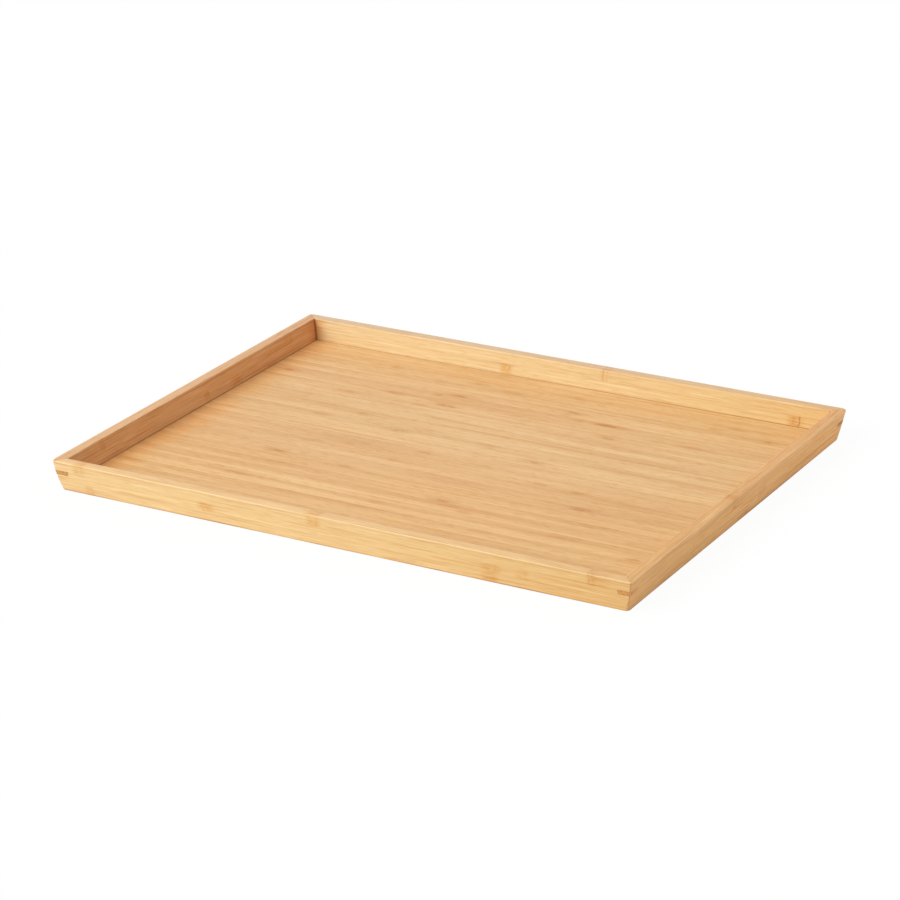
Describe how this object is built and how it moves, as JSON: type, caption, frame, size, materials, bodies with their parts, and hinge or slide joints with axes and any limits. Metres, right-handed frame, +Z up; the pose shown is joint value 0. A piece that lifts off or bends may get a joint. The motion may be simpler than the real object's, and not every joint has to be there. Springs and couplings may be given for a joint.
{
  "type": "serving tray",
  "caption": "Low rectangular bamboo serving tray: outward-leaning mitred rails with a dark key across each corner, round a sunken floor of edge-glued strips.",
  "frame": {"origin": "on the table, under the middle of the tray", "axes": "+X along the tray's length, with the grain of the floor; +Y from the front rail to the back rail; +Z up"},
  "size_m": [0.4798, 0.3598, 0.024],
  "materials": {
    "rail_bamboo": "natural bamboo, sanded, satin clear lacquer",
    "floor_bamboo": "natural bamboo strips, sanded flush, satin clear lacquer",
    "key_bamboo": "darker steamed bamboo, sanded flush, satin clear lacquer"
  },
  "bodies": {
    "root": {"front_rail_bottom_strip": "rail_bamboo", "front_rail_middle_strip": "rail_bamboo", "front_rail_top_strip": "rail_bamboo", "right_rail_bottom_strip": "rail_bamboo", "right_rail_middle_strip": "rail_bamboo", "right_rail_top_strip": "rail_bamboo", "back_rail_bottom_strip": "rail_bamboo", "back_rail_middle_strip": "rail_bamboo", "back_rail_top_strip": "rail_bamboo", "left_rail_bottom_strip": "rail_bamboo", "left_rail_middle_strip": "rail_bamboo", "left_rail_top_strip": "rail_bamboo", "corner_key_front_left": "key_bamboo", "corner_key_front_right": "key_bamboo", "corner_key_back_right": "key_bamboo", "corner_key_back_left": "key_bamboo", "floor_stave_01": "floor_bamboo", "floor_stave_02": "floor_bamboo", "floor_stave_03": "floor_bamboo", "floor_stave_04": "floor_bamboo", "floor_stave_05": "floor_bamboo", "floor_stave_06": "floor_bamboo", "floor_stave_07": "floor_bamboo", "floor_stave_08": "floor_bamboo", "floor_stave_09": "floor_bamboo", "floor_stave_10": "floor_bamboo", "floor_stave_11": "floor_bamboo", "floor_stave_12": "floor_bamboo", "floor_stave_13": "floor_bamboo", "floor_stave_14": "floor_bamboo", "floor_stave_15": "floor_bamboo", "floor_stave_16": "floor_bamboo", "floor_stave_17": "floor_bamboo", "floor_stave_18": "floor_bamboo", "floor_stave_19": "floor_bamboo", "floor_stave_20": "floor_bamboo", "floor_stave_21": "floor_bamboo", "floor_stave_22": "floor_bamboo", "floor_stave_23": "floor_bamboo", "floor_stave_24": "floor_bamboo", "floor_stave_25": "floor_bamboo", "floor_stave_26": "floor_bamboo", "floor_stave_27": "floor_bamboo"}
  },
  "joints": []
}
